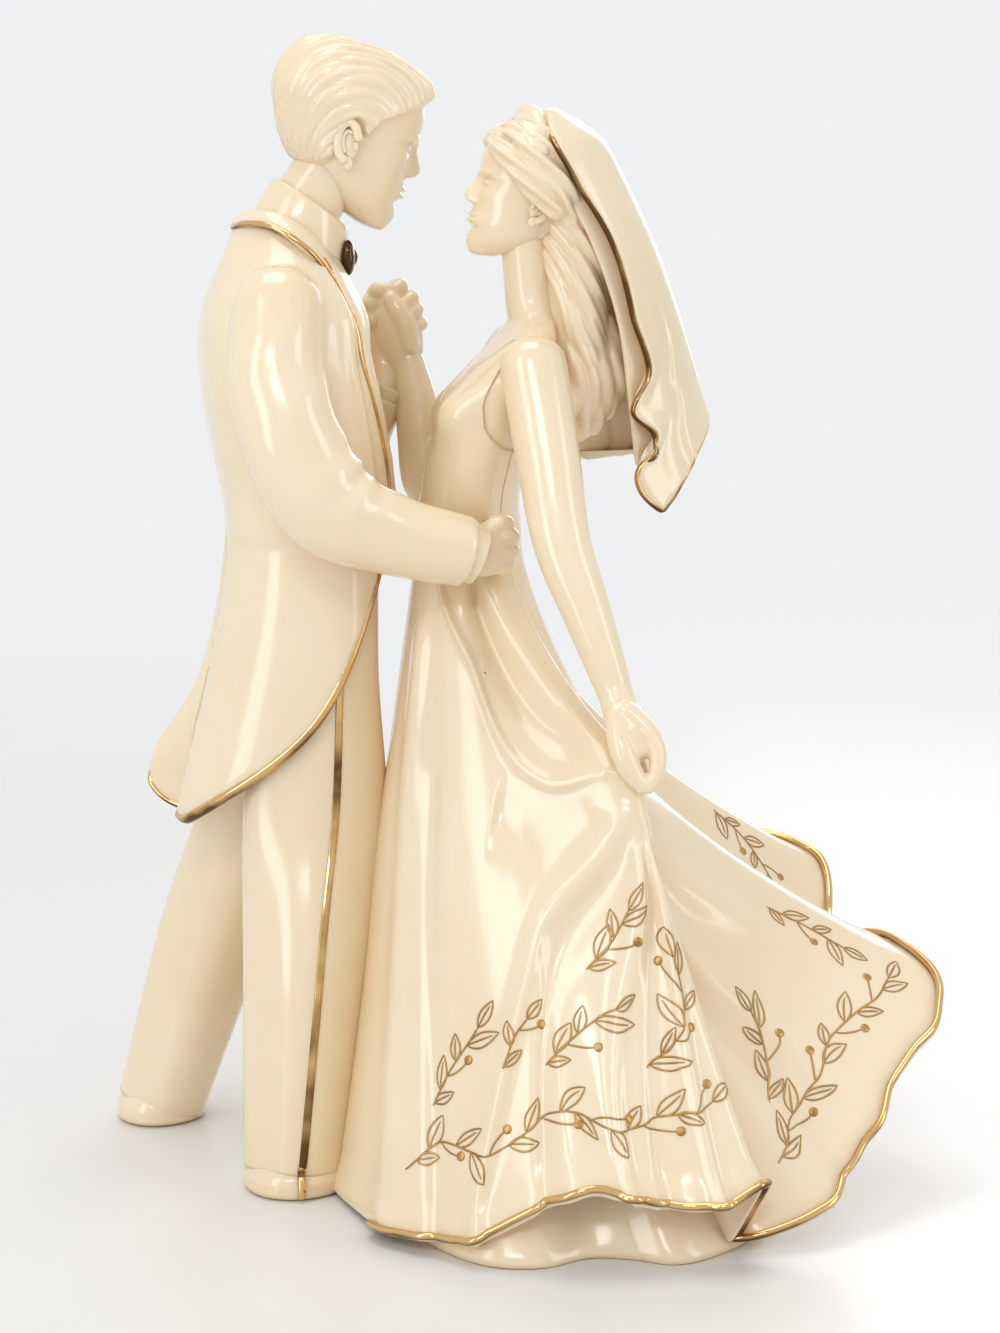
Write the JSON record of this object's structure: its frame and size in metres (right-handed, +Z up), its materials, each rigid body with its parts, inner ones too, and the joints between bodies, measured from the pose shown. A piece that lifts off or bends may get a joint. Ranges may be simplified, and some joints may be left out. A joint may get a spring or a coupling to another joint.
{
  "type": "wedding cake topper",
  "caption": "Standing porcelain cake topper of a bride and a groom who dance, with a wide lifted gown, a veil and gold lines on the edges.",
  "frame": {"origin": "on the table, on the flat foot of the gown's base, straight below the world's vertical through the bride's skirt", "axes": "+Z up, +X from the groom towards the bride and her train, +Y away from the side that the picture shows"},
  "size_m": [0.1541, 0.1101, 0.2077],
  "materials": {
    "ivory_glaze": "glossy ivory glaze on porcelain, slightly translucent",
    "gilding": "fired liquid gold, mirror bright",
    "dark_gilding": "darker fired lustre on the bow tie"
  },
  "bodies": {
    "root": {"gown_skirt": "ivory_glaze", "gown_base": "ivory_glaze", "bride_bodice": "ivory_glaze", "bride_head": "ivory_glaze", "bride_hair": "ivory_glaze", "bride_left_arm": "ivory_glaze", "bride_right_arm": "ivory_glaze", "bride_left_hand": "ivory_glaze", "bride_right_hand": "ivory_glaze", "hair_ornament": "ivory_glaze", "veil": "ivory_glaze", "tailcoat": "ivory_glaze", "near_coat_tail": "ivory_glaze", "far_coat_tail": "ivory_glaze", "near_trouser_leg": "ivory_glaze", "far_trouser_leg": "ivory_glaze", "near_shoe": "ivory_glaze", "far_shoe": "ivory_glaze", "groom_head": "ivory_glaze", "shirt_collar": "ivory_glaze", "shirt_front": "ivory_glaze", "coat_collar": "ivory_glaze", "groom_right_sleeve": "ivory_glaze", "groom_left_sleeve": "ivory_glaze", "right_shirt_cuff": "ivory_glaze", "left_shirt_cuff": "ivory_glaze", "groom_right_hand": "ivory_glaze", "groom_left_hand": "ivory_glaze", "lapel_gilding": "gilding", "near_tail_gilding": "gilding", "far_tail_gilding": "gilding", "near_trouser_stripe": "gilding", "far_trouser_stripe": "gilding", "veil_gilding": "gilding", "gown_hem_gilding": "gilding", "bow_tie": "dark_gilding"}
  },
  "joints": []
}
